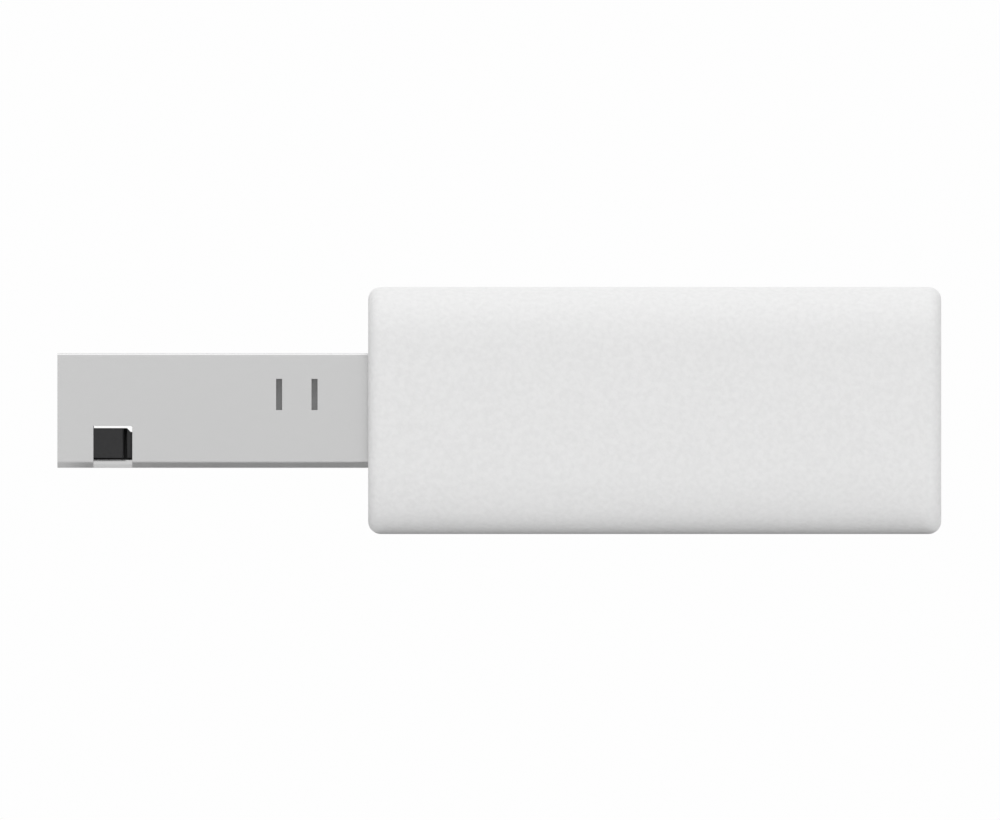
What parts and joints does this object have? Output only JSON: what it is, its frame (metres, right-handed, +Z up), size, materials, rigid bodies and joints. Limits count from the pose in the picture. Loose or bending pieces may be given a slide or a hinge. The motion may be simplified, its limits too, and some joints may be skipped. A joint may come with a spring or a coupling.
{
  "type": "usb microcontroller programmer",
  "caption": "White USB stick programmer for microcontrollers: bare USB-A plug in front, target socket for jumper leads at the back, push button and light pipes on top.",
  "frame": {"origin": "centre of the overall bounding box in plan, on the flat underside of the sleeve", "axes": "+X from the USB plug's tip to the target socket, +Y to the stick's left seen from above with the plug pointing away, +Z up out of the button's face"},
  "size_m": [0.0346, 0.018, 0.0097],
  "materials": {
    "white_plastic": "fine moulded grain, matte",
    "black_plastic": "glass-filled moulding, satin",
    "clear_plastic": "clear, polished",
    "plated_steel": "nickel plate over rolled steel sheet",
    "gold_plate": "thin gold plate",
    "green_board": "solder mask over glass laminate",
    "fuse_green": "dipped, matte",
    "chip_grey": "fired glaze, satin",
    "chip_ceramic": "fired ceramic"
  },
  "bodies": {
    "root": {"bridge_controller": "black_plastic", "busy_led": "clear_plastic", "capacitor_core": "chip_ceramic", "capacitor_crystal_in": "chip_ceramic", "capacitor_crystal_out": "chip_ceramic", "capacitor_regulator_in": "chip_ceramic", "capacitor_regulator_out": "chip_ceramic", "capacitor_supply": "chip_ceramic", "casing_sleeve": "white_plastic", "circuit_board": "green_board", "crystal": "chip_ceramic", "esd_protector": "black_plastic", "ferrite_bead": "chip_grey", "input_fuse": "fuse_green", "level_shifter": "black_plastic", "light_pipe_busy": "clear_plastic", "light_pipe_power": "clear_plastic", "power_led": "clear_plastic", "rear_cover": "white_plastic", "resistor_busy_led": "chip_grey", "resistor_data_minus": "chip_grey", "resistor_data_plus": "chip_grey", "resistor_power_led": "chip_grey", "switch_base": "black_plastic", "switch_cover": "plated_steel", "switch_dome": "plated_steel", "switch_terminal_1": "plated_steel", "switch_terminal_2": "plated_steel", "target_contact_1": "gold_plate", "target_contact_10": "gold_plate", "target_contact_2": "gold_plate", "target_contact_3": "gold_plate", "target_contact_4": "gold_plate", "target_contact_5": "gold_plate", "target_contact_6": "gold_plate", "target_contact_7": "gold_plate", "target_contact_8": "gold_plate", "target_contact_9": "gold_plate", "target_socket": "black_plastic", "usb_contact_data_minus": "gold_plate", "usb_contact_data_plus": "gold_plate", "usb_contact_ground": "gold_plate", "usb_contact_power": "gold_plate", "usb_insulator": "black_plastic", "usb_shell": "plated_steel", "voltage_regulator": "black_plastic"},
    "mode_button": {"mode_button": "white_plastic", "switch_plunger": "black_plastic"}
  },
  "joints": [
    {"name": "mode_button_press", "type": "slide", "parent": "root", "child": "mode_button", "axis": [0, 0, -1], "range_m": [0, 0.00025], "stiffness_N_per_m": 4000, "springref_m": -0.0001, "deforming": ["switch_dome"]}
  ]
}
